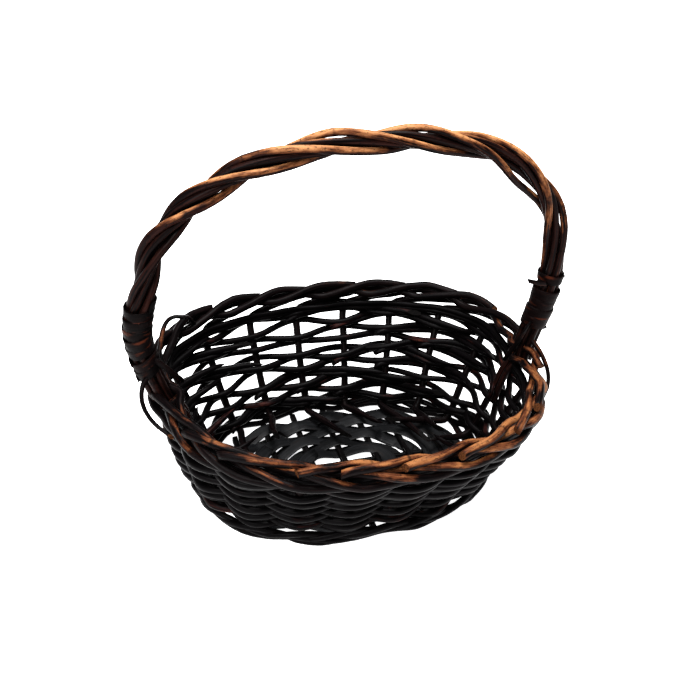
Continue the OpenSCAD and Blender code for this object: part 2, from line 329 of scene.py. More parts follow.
def finishPiece(bm, name, slotName, coats, *nodes):
    bmesh.ops.recalc_face_normals(bm, faces=bm.faces)
    mesh = bpy.data.meshes.new(name)
    bm.to_mesh(mesh)
    bm.free()
    piece = bpy.data.objects.new(name, mesh)
    bpy.context.scene.collection.objects.link(piece)
    for coat in coats:
        mesh.materials.append(coat)
    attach(piece, "root")
    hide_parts(*nodes)
    return piece


# ---- materials ----

# A number or colour in a node tree, written in expressions
class Thread:
    def __init__(self, coat, socket):
        self.coat = coat
        self.socket = socket

    def maths(self, operation, *others):
        values = {k: value for k, value in enumerate((self, *others))}
        return self.coat.node("ShaderNodeMath", {"operation": operation}, values)

    def __add__(self, other):
        return self.maths("ADD", other)

    def __radd__(self, other):
        return self.maths("ADD", other)

    def __sub__(self, other):
        return self.maths("SUBTRACT", other)

    def __rsub__(self, other):
        return (self * -1) + other

    def __mul__(self, other):
        return self.maths("MULTIPLY", other)

    def __rmul__(self, other):
        return self.maths("MULTIPLY", other)

    def clear(self, low, high):
        # 0 below low, 1 above high, smooth between
        return self.coat.node(
            "ShaderNodeMapRange", {"interpolation_type": "SMOOTHSTEP", "clamp": True},
            {"Value": self, "From Min": low, "From Max": high})


class Coat:
    def __init__(self, name):
        self.material = bpy.data.materials.new(name)
        self.material.use_nodes = True
        self.tree = self.material.node_tree
        self.shader = self.tree.nodes["Principled BSDF"]

    # A node of any type: its settings first, then its sockets
    def node(self, kind, settings=None, sockets=None, out=0):
        made = self.tree.nodes.new(kind)
        for key, value in (settings or {}).items():
            if key == "stops":
                for k, (place, colour) in enumerate(value):
                    stops = made.color_ramp.elements
                    stop = stops[k] if k < len(stops) else stops.new(place)
                    stop.position, stop.color = place, (*colour, 1)
            else:
                setattr(made, key, value)
        for key, value in (sockets or {}).items():
            self.feed(made.inputs[key], value)
        return Thread(self, made.outputs[out])

    def feed(self, socket, value):
        if isinstance(value, Thread):
            self.tree.links.new(value.socket, socket)
        elif isinstance(value, tuple) and len(value) == 3 and socket.type == "RGBA":
            socket.default_value = (*value, 1)
        else:
            socket.default_value = value

    def surface(self, **values):
        for key, value in values.items():
            self.feed(self.shader.inputs[key.replace("_", " ")], value)

    def attribute(self, name, out="Fac"):
        return self.node("ShaderNodeAttribute", {"attribute_name": name}, None, out)

    def stretched(self, vector, amounts):
        return self.node("ShaderNodeMapping", None, {"Vector": vector, "Scale": amounts})

    def noise(self, vector, scale, detail=3, rough=0.55):
        return self.node("ShaderNodeTexNoise", None, {
            "Vector": vector, "Scale": scale, "Detail": detail, "Roughness": rough})

    def blend(self, share, first, second):
        return self.node("ShaderNodeMix", {"data_type": "RGBA"}, {0: share, 6: first, 7: second}, 2)

    def bump(self, height, distance, strength=1.0, below=None):
        sockets = {"Height": height, "Distance": distance, "Strength": strength}
        if below:
            sockets["Normal"] = below
        return self.node("ShaderNodeBump", None, sockets)


nearBlack = (0.0018, 0.0014, 0.0016)
# How pale a bark comes out is a sum of its rubbed patches and streaks, plus painted top light. The worn
# colour starts where that sum passes wornAt, and the top light term adds to it on whatever faces up: painted
# highlight on top faces, painted shade on faces turned down.
barks = {
    "handle": {
        "brown": (0.024, 0.008, 0.006), "worn": (0.118, 0.043, 0.018), "pale": (0.375, 0.180, 0.080),
        "wornAt": 1.40, "paintedTopLight": 0.42, "rough": 0.42},
    "border": {
        "brown": (0.0085, 0.0045, 0.0046), "worn": (0.092, 0.031, 0.014), "pale": (0.26, 0.112, 0.044),
        "wornAt": 1.64, "paintedTopLight": 0.34, "rough": 0.44},
    "wall": {
        "brown": (0.0036, 0.0026, 0.0030), "worn": (0.026, 0.0085, 0.0076), "pale": (0.080, 0.023, 0.011),
        "wornAt": 1.66, "paintedTopLight": 0.12, "rough": 0.44},
    "base": {
        "brown": (0.0045, 0.004, 0.004), "worn": (0.010, 0.0075, 0.007), "pale": (0.02, 0.014, 0.013),
        "wornAt": 1.8, "paintedTopLight": 0.1, "rough": 0.5},
}


def barkCoat(name, bark):
    coat = Coat(name)
    place = coat.attribute("straight", "Vector")
    tone = coat.attribute("tone")
    wear = coat.attribute("wear")
    knot = coat.attribute("knot")
    streak = coat.noise(coat.stretched(place, willow["streakStretch"]), 1, 4)
    blotch = coat.noise(coat.stretched(place, willow["blotchStretch"]), 1, 3)
    fleck = coat.noise(coat.stretched(place, willow["fleckStretch"]), 1, 2, 0.7)
    # The normal's height, times the bark's top light term, is painted light: a painted highlight on faces
    # turned up and painted shade on faces turned down.
    normal = coat.node("ShaderNodeNewGeometry", None, None, "Normal")
    height = coat.node("ShaderNodeSeparateXYZ", None, {"Vector": normal}, 2)
    # The sum mixes real wear (patches, streaks, the rod's own wear and tone) with that painted top light.
    paleness = blotch * 1.7 + streak * 0.8 + fleck * 0.3 + wear + (tone - 0.5) * 0.3 + height * bark["paintedTopLight"]
    wornAndLitMask = paleness.clear(bark["wornAt"], bark["wornAt"] + 0.32)
    paleMask = paleness.clear(bark["wornAt"] + 0.20, bark["wornAt"] + 0.62)
    colour = coat.blend(streak.clear(0.35, 0.7), nearBlack, bark["brown"])
    colour = coat.blend(wornAndLitMask, colour, bark["worn"])
    colour = coat.blend(paleMask, colour, bark["pale"])
    colour = coat.blend(fleck.clear(0.56, 0.66) * 0.8, colour, nearBlack)
    colour = coat.blend(knot.clear(0.25, 0.9) * 0.8, colour, nearBlack)
    shine = (streak - 0.5) * 0.25 + wornAndLitMask * 0.06 + bark["rough"]
    grooves = coat.bump(streak, willow["grooveDepth"], 0.7)
    ridges = coat.bump(fleck, willow["grooveDepth"] * 0.6, 0.5, grooves)
    coat.surface(Base_Color=colour, Roughness=shine, Normal=ridges, Specular_IOR_Level=0.055)
    return coat.material


# The wood of a cut end, with its rings
def cutCoat(name, light, dark):
    coat = Coat(name)
    place = coat.attribute("straight", "Vector")
    rings = coat.noise(coat.stretched(place, (10, 1400, 1400)), 1, 3)
    coat.surface(Base_Color=coat.blend(rings.clear(0.35, 0.65), dark, light), Roughness=0.7)
    coat.surface(Normal=coat.bump(rings, 0.0003, 0.6), Specular_IOR_Level=0.06)
    return coat.material


# The face of a split strip, with the grain of the wood down it
def stripCoat(name, dark, grey, brown, gloss):
    coat = Coat(name)
    place = coat.attribute("straight", "Vector")
    tone = coat.attribute("tone")
    streak = coat.noise(coat.stretched(place, (22, 900, 900)), 1, 4)
    blotch = coat.noise(coat.stretched(place, (50, 220, 220)), 1, 3)
    fibre = coat.noise(coat.stretched(place, (60, 2600, 2600)), 1, 2)
    colour = coat.blend((streak * 0.7 + blotch * 0.5 + tone * 0.2).clear(0.5, 0.85), dark, grey)
    colour = coat.blend(blotch.clear(0.56, 0.72) * 0.75, colour, brown)
    coat.surface(Base_Color=colour, Roughness=0.5 + (fibre - 0.5) * 0.3)
    grooves = coat.bump(streak, 0.0003, 0.7)
    coat.surface(Normal=coat.bump(fibre, 0.00015, 0.5, grooves), Specular_IOR_Level=gloss)
    return coat.material


handleBark = barkCoat("handleBark", barks["handle"])
borderBark = barkCoat("borderBark", barks["border"])
wallBark = barkCoat("wallBark", barks["wall"])
baseBark = barkCoat("baseBark", barks["base"])
cutWood = cutCoat("cutWood", (0.11, 0.042, 0.015), (0.025, 0.010, 0.005))
darkCut = cutCoat("darkCut", (0.0055, 0.0046, 0.0044), (0.0018, 0.0016, 0.0016))
baseStrip = stripCoat("baseStrip", (0.0020, 0.0021, 0.0024), (0.0090, 0.0093, 0.0102),
                      (0.007, 0.005, 0.0045), 0.15)
skeinStrip = stripCoat("skeinStrip", (0.0012, 0.0008, 0.0009), (0.0052, 0.0022, 0.0022),
                       (0.075, 0.018, 0.007), 0.05)
print("materials made")


# ---- base ----

base = {
    "stickSize": 0.0044,
    "stickPitch": 0.027,
    "baysEachSide": 3,
    "stripWidth": 0.009,
    "stripThickness": 0.0014,
    "edgeRoom": 0.0124,     # space between the last strip and the base's edge
    "groupRoom": 0.009,     # space between the long sticks and the first strip
    "eyeHalf": 0.0105,      # half the length of the split in a short stick
    "spreadWidth": 1.42,    # how much wider a strip is where it lies free
    "tilt": 8,              # most degrees that a strip leans between sticks
    "lift": 0.0014,         # how far a strip strays up and down
    "lap": 0.030,           # length for which a strip's ends lie on each other
    "endLift": 0.0012,      # how far its ends stand up besides
}
stickRadius = base["stickSize"] / 2
stripRise = stickRadius + bowl["pressGap"] + base["stripThickness"] / 2
stickZ = stripRise + base["stripThickness"] / 2
baseTop = stickZ + stripRise + base["stripThickness"] / 2
stripGap = (base["stickPitch"] - base["stickSize"] - 2 * base["stripWidth"]) / 3
firstStripB = stickRadius * 3 + 0.0002 + base["groupRoom"] + base["stripWidth"] / 2
lastStripB = bowl["baseWidth"] / 2 - base["edgeRoom"] - base["stripWidth"] / 2
stripCount = 2 * base["baysEachSide"]


# The bay where a strip's oval turns at the base's ends, and the oval's half length and half width
def stripHalves(j):
    bay = 1 + (j - 1) // 2
    turnRoom = (base["stripWidth"] + stripGap) / 2
    a = base["stickPitch"] * (bay + 0.5) + (-turnRoom if j % 2 else turnRoom)
    return bay, a, firstStripB + (j - 1) * (lastStripB - firstStripB) / (stripCount - 1)


# Lengths walked to each short stick, with over or under, once round from +X
def stripStops(j):
    bay, a, b = stripHalves(j)
    turns, lengths = ovalWalk(a, b)
    whole = lengths[-1]
    stops = []
    for k in range(bay, -bay - 1, -1):
        turn = math.acos(signedPower(k * base["stickPitch"] / a, bowl["ovalPower"] / 2))
        out = ovalOut(a, b, turn)
        half = (stickRadius + base["stripWidth"] / 2 * abs(out.x)) / max(0.3, abs(out.y))
        side = 1 if (abs(k) + j) % 2 == 0 else -1
        stops.append((between(turn, turns, lengths), half, side))
    stops += [(whole - at, half, side) for at, half, side in reversed(stops)]
    return a, b, turns, lengths, stops


# One strip woven once round over and under the short sticks, its ends lapped
def weaveBaseRound(j):
    a, b, turns, lengths, stops = stripStops(j)
    whole = lengths[-1]
    heights = []
    for at, half, side in stops:
        heights += [(at - half, side), (at + half, side)]
    laps = [(at + lap * whole, side) for lap in (-1, 0, 1, 2) for at, side in heights]
    keys = [at for at, side in laps]
    values = [side for at, side in laps]
    start = random.Random(40 + j).uniform(0, 1) * whole
    count = round(whole / 0.006)
    points, hints = [], []
    for k in range(count + 1):
        s = start + (whole + base["lap"]) * k / count
        turn = between(s % whole, lengths, turns)
        out = ovalOut(a, b, turn)
        rise = between(s, keys, values)
        sway = 0.0015 * noise.noise(Vector((s * 18, j * 5.3, 2)))
        lift = base["lift"] * max(-0.2, noise.noise(Vector((s * 25, j * 5.3, 7))))
        if k < 3 or k > count - 3:
            lift += base["endLift"]
        points.append(ovalPoint(a, b, turn) + out * sway + zAxis * (stickZ + stripRise * rise + lift))
        lean = math.radians(base["tilt"]) * 2 * noise.noise(Vector((s * 14, j * 2.1, 30)))
        hints.append(out + zAxis * math.tan(lean))
    bm = newPiece()
    growRod(bm, points, base["stripWidth"] * base["spreadWidth"], 40 + j, flat=base["stripThickness"],
            hints=lambda path: spreadOver(hints, path), sides=12, step=0.004, cuts=(0.3, 0.3), rough=0.06,
            knotEvery=0)
    finishPiece(bm, f"baseStrip{j}", "base_strip", [baseStrip, darkCut], f"base_strip_round_{j}")


def spreadOver(values, path):
    return [values[round(k * (len(values) - 1) / (len(path) - 1))] for k in range(len(path))]


# Half the length of a stick that crosses the base at a distance from its middle
def stickHalf(away, across, along):
    power = bowl["ovalPower"]
    return along * (1 - (abs(away) / across) ** power) ** (1 / power)


# The long sticks run through the short ones, which are split in the middle
def growBaseSticks():
    edgeA, edgeB = (half + stakeSize / 2 for half in wallHalves(0))
    size = base["stickSize"]
    for i in (1, 2, 3):
        y = (i - 2) * (size + 0.0001)
        half = stickHalf(y, edgeB, edgeA)
        bm = newPiece()
        points = [Vector((half * k / 6, y, stickZ)) for k in range(-6, 7)]
        growRod(bm, points, size, 60 + i, cuts=(0.3, 0.3), wear=-0.2)
        finishPiece(bm, f"baseLongStick{i}", "base_stick", [baseBark, darkCut], f"base_long_stick_{i}")
    for i in range(1, 2 * base["baysEachSide"] + 2):
        x = (i - 1 - base["baysEachSide"]) * base["stickPitch"]
        half = stickHalf(x, edgeA, edgeB)
        bm = newPiece()
        for side in (-1, 1):
            points = []
            for k in range(-20, 21):
                y = half * k / 20
                opened = math.exp(-(y / base["eyeHalf"]) ** 4)
                points.append(Vector((x, y, stickZ + side * size * (0.25 + 0.5 * opened))))
            growRod(bm, points, size, 70 + 2 * i + side, flat=size / 2, cuts=(0.3, 0.3), wear=-0.2,
                    hints=lambda path: [Vector((1, 0, 0))] * len(path))
        finishPiece(bm, f"baseShortStick{i}", "base_stick", [baseBark, darkCut], f"base_short_stick_{i}")


for j in range(1, stripCount + 1):
    weaveBaseRound(j)
growBaseSticks()
print("base woven")


# ---- stakes and border ----

border = {
    "way": [    # gaps passed, steps outward, steps below the top rod, a step being one rod
        (0.06, 0.05, 3.45), (0.22, 0.25, 3.0), (0.5, 0.66, 2.8), (0.75, 0.95, 2.7), (1, 1.15, 2.55),
        (1.25, 1.2, 2.1), (1.5, 1.1, 1.55), (1.75, 0.8, 1.2), (2, 0.25, 1.15), (2.25, -0.3, 1.35),
        (2.5, -0.75, 1.6), (2.75, -0.9, 1.25), (3, -0.85, 0.75), (3.25, -0.45, 0.35), (3.5, 0.05, 0.15),
        (3.75, 0.45, 0.1), (4, 0.75, 0.25), (4.15, 0.95, 0.4)],
    "rodSizes": (0.0059, 0.0063),   # at the butt and at the tip
    "footReach": 0.018,     # how far from a handle foot the border starts to spread
    "wander": 0.0012,
    "endShift": (-0.12, 0.3),   # gaps by which a rod ends early or late
    "backRise": 0.0022,     # how much higher the border lies at the back
    "backDrop": 0.0025,     # how far the rods' ends are tucked in at the back
    "wear": {"everywhere": -0.35, "rim": 0.62, "back": -0.50, "left": -0.26},
}
upright = {
    "buttLength": 0.034,
    "buttShares": (0.7, 1.5),   # of that length, at the shortest and the longest butt
    "slant": 0.7,           # most that a butt lies aslant
    "lift": 0.006,          # most that a butt's end stands off the base
    "highLift": 0.007,      # what one butt in three stands off besides
    "bow": 0.0012,          # most that an upright is bowed sideways
}
# The handle's rope, which the border goes round
rope = {
    "rodSize": 0.0052,
    "rodGap": 0.0005,       # between the two rods of a pair
    "room": 0.001,          # by which the rods' circle is wider than a rod
}
buttZ = baseTop + bowl["pressGap"] + stakeSize / 2
ropeRadius = rope["rodSize"] + rope["room"]
pairTurn = math.asin((rope["rodSize"] + rope["rodGap"]) / 2 / ropeRadius)
bundleRadius = ropeRadius + rope["rodSize"] / 2
footSpread = bundleRadius + stakeSize / 2 + bowl["pressGap"]


# 1 beside a handle foot, falling to 0 away from it
def footBump(gaps):
    half = bowl["stakes"] / 2
    off = gaps - round(gaps / half) * half
    return math.exp(-(off * stakeGap / border["footReach"]) ** 2)


# Border rods part to both sides of a handle foot
def spreadOut(out, gaps, gone):
    near = footSpread * footBump(gaps) * ramp(gone, 0.75, 1)
    return out + math.tanh(out / (0.6 * stakeSize)) * max(0, near - abs(out))


# The border is rubbed most in front and on the right, and its back is dark
def borderWear(share, point):
    wear = border["wear"]
    worn = wear["everywhere"] + wear["rim"] * ramp(share, 0.36, 0.61)
    return worn + wear["back"] * ramp(point.y, -0.03, 0.05) + wear["left"] * ramp(-point.x, 0.03, 0.10)


# A butt on the base, an upright in the wall, and a top that goes on through the border
def growStake(i):
    rng = random.Random(100 + i)
    gaps = i - 1 + bowl["stakePhase"]
    out = wallOut(gaps, 0)
    corner = wallPoint(gaps, buttZ, 0)
    sideways = zAxis.cross(out)
    slant = rng.uniform(-upright["slant"], upright["slant"])
    length = upright["buttLength"] * rng.uniform(*upright["buttShares"])
    lift = rng.uniform(0, upright["lift"]) + rng.choice((0, 0, upright["highLift"]))
    points = [
        corner - length * (out + slant * sideways) + zAxis * lift,
        corner - 0.5 * length * (out + slant * sideways) + zAxis * lift * 0.3,
        corner - 0.006 * out,
        corner - 0.0012 * out + zAxis * 0.0018]
    bow = upright["bow"] * rng.uniform(-1, 1)
    low, high = buttZ + 0.008, wallTop - 0.006
    for k in range(6):
        z = low + (high - low) * (k / 5) ** 1.2
        points.append(wallPoint(gaps, z, 0) + sideways * bow * math.sin(k / 5 * math.pi))
    endShift = rng.uniform(*border["endShift"])
    for gone, outSteps, downSteps in border["way"]:
        if gone > 3.9:
            gone += endShift
        g = gaps - gone
        place = Vector((g * 1.7, i * 0.73, 5))
        outward = spreadOut(outSteps * stakeSize, g, gone) + border["wander"] * noise.noise(place)
        z = borderTop - downSteps * stakeSize
        z += border["wander"] * noise.noise(place * 1.3 + Vector((0, 4, 0)))
        z += border["backRise"] * max(0, math.sin(turnAt(g))) * min(gone, 1)
        if gone > 3.6 and 0 < (g % bowl["stakes"]) < bowl["stakes"] / 2:
            z -= border["backDrop"] * (gone - 3.6)
            outward -= 2 * border["backDrop"] * (gone - 3.6)
        points.append(wallPoint(g, z, outward))
    bm = newPiece()
    thin, thick = border["rodSizes"]
    growRod(bm, points, stakeSize, 100 + i, taper=(thin / stakeSize, thick / stakeSize), cuts=(2.6, 0.5),
            wear=borderWear, ends=(2, 1), narrow=0.07)
    return bm


# Thin rods that stand clear of the weave, by the handle feet and under the front edge
loops = {
    "outerLeft": [(-0.150, -0.004, 0.122), (-0.1580, -0.010, 0.119), (-0.1612, -0.016, 0.111),
                  (-0.1598, -0.021, 0.102), (-0.1545, -0.027, 0.094), (-0.1460, -0.036, 0.089)],
    "upperLeft": [(-0.1480, 0.008, 0.106), (-0.1420, 0.028, 0.118), (-0.1375, 0.041, 0.1265),
                  (-0.1325, 0.051, 0.1290), (-0.1265, 0.060, 0.1265), (-0.1200, 0.070, 0.1200),
                  (-0.1120, 0.082, 0.1110), (-0.1060, 0.088, 0.1000)],
    "outerRight": [(0.1440, -0.006, 0.112), (0.1490, -0.016, 0.105), (0.1530, -0.024, 0.094),
                   (0.1525, -0.030, 0.084), (0.1470, -0.036, 0.077), (0.1400, -0.044, 0.080)],
    "underFront": [(-0.0680, -0.0690, 0.0060), (-0.0590, -0.0735, 0.0026), (-0.0440, -0.0795, 0.0022),
                   (-0.0270, -0.0795, 0.0022), (-0.0150, -0.0765, 0.0050)],
    "size": 0.0036,
}


def growLoop(bm, name, seed, wear):
    growRod(bm, [Vector(point) for point in loops[name]], loops["size"], seed, taper=(1.1, 0.8), wear=wear)


for i in range(1, bowl["stakes"] + 1):
    stakeMesh = growStake(i)
    if i == 13:
        growLoop(stakeMesh, "outerLeft", 91, -0.25)
    if i == 12:
        growLoop(stakeMesh, "upperLeft", 92, -0.15)
    if i == 1:
        growLoop(stakeMesh, "outerRight", 93, 0.05)
    finishPiece(stakeMesh, f"stake{i}", "stake_willow", [borderBark, cutWood, darkCut], f"stake_{i}")
print("stakes and border woven")


# ---- wall rows ----

wall = {
    "rows": 13,
    "footRows": 2,
    "rodSizes": (0.0064, 0.0046),   # butt and tip of a weaver
    "squareShare": 0.2,     # how far the weave is square to the leaning wall, where 0 is level
    "wander": 0.0040,       # how far a row strays up and down
    "packing": (0.0012, 0.0049),    # heights over the wall of the rods packed inside the border's foot
    "buttOut": 0.008,       # how far a butt stands into the bowl
    "overlap": 2,           # gaps for which a new rod runs beside the last one
    "besides": 0.0034,      # how far over the last one it runs
    "twineStep": 0.0027,    # half the height between the two rods of a foot row
}
perGap = 4      # points for each gap between stakes
footRowZ = bowl["weaverSize"] / 2 + 0.0007
firstRowZ = buttZ + (stakeSize + bowl["weaverSize"]) / 2 + bowl["pressGap"]
lastRowZ = wallTop - 0.0034


def rowHeight(j):
    if j <= wall["footRows"]:
        return footRowZ + 0.0012 + (j - 1) * (firstRowZ - weaveSwing / 2 - footRowZ) / wall["footRows"]
    share = (j - 1 - wall["footRows"]) / (wall["rows"] - 1 - wall["footRows"])
    return firstRowZ + share * (lastRowZ - firstRowZ)


# How far a row strays up or down, the same again after one round
def rowStray(gaps, j):
    turn = 2 * math.pi * gaps / bowl["stakes"]
    place = Vector((math.cos(turn) * 2.6, math.sin(turn) * 2.6, j * 0.9))
    return wall["wander"] * noise.noise(place)


# A row runs in front of one stake and behind the next, and the next row the other way round
def rowOut(gaps, j):
    side = 1 if (1 + j) % 2 == 0 else -1
    swing = side * math.cos(math.pi * (gaps - bowl["stakePhase"]))
    return weaveSwing * math.copysign(abs(swing) ** 1.15, swing)


# A point in front of or behind the wall's middle
def wallSide(gaps, z, out):
    square = (wallOut(gaps, z) - wall["squareShare"] * wallLean(gaps, z) * zAxis).normalized()
    return wallPoint(gaps, z, 0) + out * square


# A foot row is two rods that cross each other between the stakes, all outside
def twineFootRow(j):
    bm = newPiece()
    stakes = bowl["stakes"]
    for rod in (0, 1):
        rng = random.Random(300 + 10 * j + rod)
        start = rng.randrange(stakes)
        points = []
        for k in range(stakes * perGap + 2):
            g = start + k / perGap + bowl["stakePhase"]
            cross = math.cos(math.pi * (k / perGap + rod))
            z = rowHeight(j) + wall["twineStep"] * cross * (1 if j % 2 else -1) + 0.4 * rowStray(g, j)
            out = weaveSwing + 0.0004 + 0.0012 * math.sin(math.pi * (k / perGap + rod))
            points.append(wallPoint(g, max(z, footRowZ), out))
        growRod(bm, points, bowl["weaverSize"], 700 + 2 * j + rod, taper=(1.12, 0.95), sides=8,
                step=0.0036, cuts=(1.6, 0.6), wear=-0.1, knotEvery=0.06)
    if j == 1:
        growLoop(bm, "underFront", 94, -0.2)
    finishPiece(bm, f"wallRow{j}", "weaver_willow", [wallBark, darkCut], f"wall_row_{j}")


# Rods that lie inside the stakes between the last row and the border
def packTop(bm):
    for n, up in enumerate(wall["packing"]):
        rng = random.Random(380 + n)
        start = rng.uniform(11, 18)
        points = []
        for k in range(2 * bowl["stakes"] + 3):
            g = start + k / 2
            out = -weaveSwing + 0.0005 * (-1) ** k
            points.append(wallPoint(g, wallTop + up + 0.3 * rowStray(g, 20 + n), out))
        growRod(bm, points, bowl["weaverSize"], 390 + n, taper=(1.1, 0.85), sides=8, step=0.0036,
                cuts=(1.6, 0.6), wear=-0.2, knotEvery=0.06)


# Three rods, each of which starts with its butt inside and runs beside the end of the last
def weaveRow(j):
    rng = random.Random(300 + j)
    z = rowHeight(j)
    stakes = bowl["stakes"]
    inside = [k for k in range(stakes) if rowOut(k + bowl["stakePhase"], j) < 0]
    first = rng.randrange(len(inside))
    third = len(inside) // 3
    cuts = [inside[first], inside[(first + third) % len(inside)], inside[(first - third) % len(inside)]]
    cuts.sort()
    bm = newPiece()
    for n, start in enumerate(cuts):
        end = cuts[n + 1] if n < 2 else cuts[0] + stakes
        over = perGap * wall["overlap"]
        points = []
        steps = (end - start) * perGap
        for k in range(-over - 1, steps + 2):
            g = start + k / perGap + bowl["stakePhase"]
            out = rowOut(g, j)
            dz = rowStray(g, j) + wall["besides"] * (1 - ramp(k, -2, 2))
            if k == -over - 1:
                g -= rng.uniform(0.1, 0.5)
                out = -weaveSwing - wall["buttOut"] * rng.uniform(0.2, 1)
                dz += rng.uniform(0, 0.003)
            if k == steps + 1:
                out = -weaveSwing - 0.001
                dz -= 0.002
            points.append(wallSide(g, z + dz, out))
        thick, thin = wall["rodSizes"]
        size = bowl["weaverSize"] * rng.uniform(0.9, 1.06)
        growRod(bm, points, size, 300 + 2 * j + start, taper=(thick / size, thin / size), sides=8,
                step=0.0036, cuts=(2.6, 0.6), wear=rng.uniform(-0.3, 0.12), knotEvery=0.06, narrow=0.05)
    if j == wall["rows"]:
        packTop(bm)
    finishPiece(bm, f"wallRow{j}", "weaver_willow", [wallBark, darkCut], f"wall_row_{j}")


for j in range(1, wall["rows"] + 1):
    if j <= wall["footRows"]:
        twineFootRow(j)
    else:
        weaveRow(j)
print("wall woven")


# ---- handle ----

handle = {
    "line": [   # the bow's middle line from the left foot to the right: x and z
        (-0.1415, 0.0925), (-0.1470, 0.105), (-0.1520, 0.119), (-0.1562, 0.135), (-0.1592, 0.150),
        (-0.1588, 0.163), (-0.1560, 0.178), (-0.1524, 0.195), (-0.1420, 0.2246), (-0.1182, 0.2504),
        (-0.085, 0.2700), (-0.043, 0.2818), (0.0, 0.2854), (0.042, 0.2838), (0.0825, 0.2760),
        (0.1155, 0.2600), (0.1398, 0.2340), (0.1514, 0.207), (0.1556, 0.185), (0.1550, 0.160),
        (0.1512, 0.139), (0.1465, 0.120), (0.1430, 0.106), (0.1415, 0.0925)],
    "twist": [  # share of the bow's length, degrees the strands have turned
        (0.0, 130), (0.125, 130), (0.1705, 75), (0.2477, -37), (0.3126, -154), (0.4061, -274),
        (0.5111, -396), (0.6004, -521), (0.7360, -664), (0.8411, -807), (0.880, -837), (1.0, -837)],
    "loose": [  # rods that stand off the rope: rod, share of the length, reach, how far out
        (4, 0.700, 0.040, -0.0040), (4, 0.575, 0.035, 0.0012), (2, 0.458, 0.030, 0.0016),
        (2, 0.790, 0.035, 0.0012)],
    "showing": (0.0071, 0),     # radius and degrees of the rod that shows, in each pair
    "hidden": (0.0038, -48),    # the same of the other rod, which lies nearer the core
    "free": (0.13, 0.18),   # shares of the length from either end where the bindings let the rods go
    "tail": 0.030,          # length of rod inside the wall
    "wander": 0.0008,
    "turnWander": 0.14,     # radians that a rod strays round the rope
    "coreSize": 0.0026,
    "wear": {"showing": 0.22, "hidden": -0.50, "left": -0.80, "right": -0.35},
}
bowLine = smoothPath([Vector((x, 0, z)) for x, z in handle["line"]], 0.002)
bowLengths = walked(bowLine)
bowLength = bowLengths[-1]


def bowPoint(l):
    return between(l, bowLengths, bowLine)


def bowWay(l):
    return (bowPoint(min(bowLength, l + 0.004)) - bowPoint(max(0, l - 0.004))).normalized()


def bowOut(l):
    return (-yAxis).cross(bowWay(l))


def ropeTurn(l):
    shares = [share for share, turn in handle["twist"]]
    turns = [math.radians(turn) for share, turn in handle["twist"]]
    # Averaged a little to round the corners between the steps
    near = [between(l / bowLength + d * 0.012, shares, turns) for d in (-1, -0.5, 0, 0.5, 1)]
    return sum(near) / len(near)


def ropePoint(l, turn, radius):
    return bowPoint(l) + radius * (math.cos(turn) * bowOut(l) + math.sin(turn) * yAxis)


# A rod's way on down behind the wall, from the border
def handleTail(side, turn):
    back = weaveSwing + (bowl["weaverSize"] + rope["rodSize"]) / 2 + bowl["pressGap"]
    y = ropeRadius * math.sin(turn)
    heights = (wallTop - 0.004, wallTop - handle["tail"])
    return [Vector((side * (wallHalves(z)[0] - back), y, z)) for z in heights]


def handleWear(share, showing):
    wear = handle["wear"]
    paleness = wear["showing" if showing else "hidden"]
    return paleness + wear["left"] * (1 - ramp(share, 0.16, 0.36)) + wear["right"] * ramp(share, 0.76, 0.86)


# The rods lie in three pairs: the even one shows, and the odd one is hidden beside it
def growRopeRod(k):
    showing = k % 2 == 0
    beside = pairTurn if showing else -pairTurn
    first = 2 * math.pi / 3 * ((k - 1) // 2) + beside
    steps = 110
    points = []
    for n in range(steps + 1):
        share = n / steps
        l = bowLength * share
        free = ramp(0.5 - abs(share - 0.5), *handle["free"])
        sway = handle["turnWander"] * noise.noise(Vector((l * 18, k * 3.7, 8)))
        stray = handle["wander"] * noise.noise(Vector((l * 22, k * 3.7, 0)))
        reach, angle = handle["showing" if showing else "hidden"]
        turn = first + ropeTurn(l) + free * (sway + math.radians(angle) - beside)
        radius = ropeRadius + free * (stray + reach - ropeRadius)
        push = sum(out * math.exp(-((share - at) / span) ** 2)
                   for rod, at, span, out in handle["loose"] if rod == k)
        points.append(ropePoint(l, turn, radius) + push * bowOut(l))
    # The rods that lie innermost at a foot go on down inside the wall
    atLeft, atRight = first + ropeTurn(0), first + ropeTurn(bowLength)
    if math.cos(atLeft) < -0.5:
        points = handleTail(-1, atLeft)[::-1] + points
    if math.cos(atRight) < -0.5:
        points += handleTail(1, atRight)
    bm = newPiece()
    growRod(bm, points, rope["rodSize"] * (1.08 if showing else 1.0), 500 + k, taper=(1.04, 0.98),
            cuts=(0.4, 0.4), sides=12, wear=lambda share, point: handleWear(share, showing))
    finishPiece(bm, f"ropeRod{k}", "handle_willow", [handleBark, cutWood], f"handle_rope_rod_{k}")


def growCoreRod():
    bm = newPiece()
    points = [bowPoint(bowLength * n / 60) for n in range(61)]
    growRod(bm, points, handle["coreSize"], 499, cuts=(0.2, 0.2), wear=-0.3)
    finishPiece(bm, "coreRod", "handle_willow", [handleBark, cutWood], "handle_core_rod")


